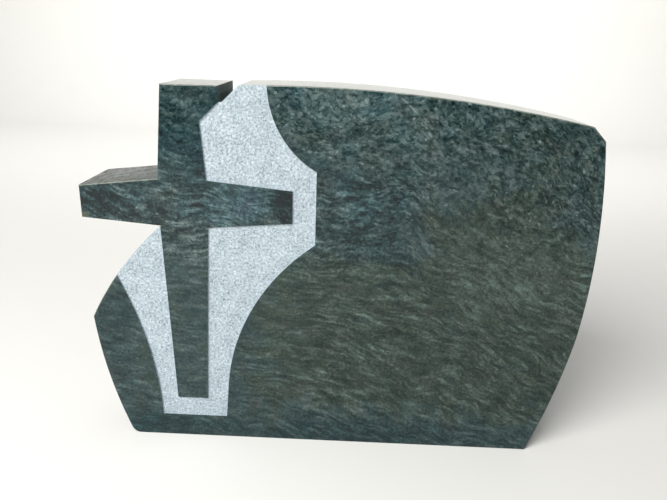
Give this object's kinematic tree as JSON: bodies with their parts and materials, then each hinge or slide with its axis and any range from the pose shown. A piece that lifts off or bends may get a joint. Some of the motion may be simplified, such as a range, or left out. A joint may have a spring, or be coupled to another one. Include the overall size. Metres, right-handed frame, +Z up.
{
  "type": "headstone",
  "caption": "Upright polished granite slab with a frosted field sunk round a cross, whose head and one arm stand free past the slab's upper left corner.",
  "frame": {"origin": "on the ground, under the middle of the stone's overall width and thickness", "axes": "+X to the right across the face, -Y out of the carved face towards the viewer, +Z up"},
  "size_m": [1.0002, 0.15, 0.7535],
  "materials": {
    "granite_polished": "polished",
    "granite_frosted": "blasted"
  },
  "bodies": {
    "root": {"headstone": "granite_polished"}
  },
  "joints": []
}
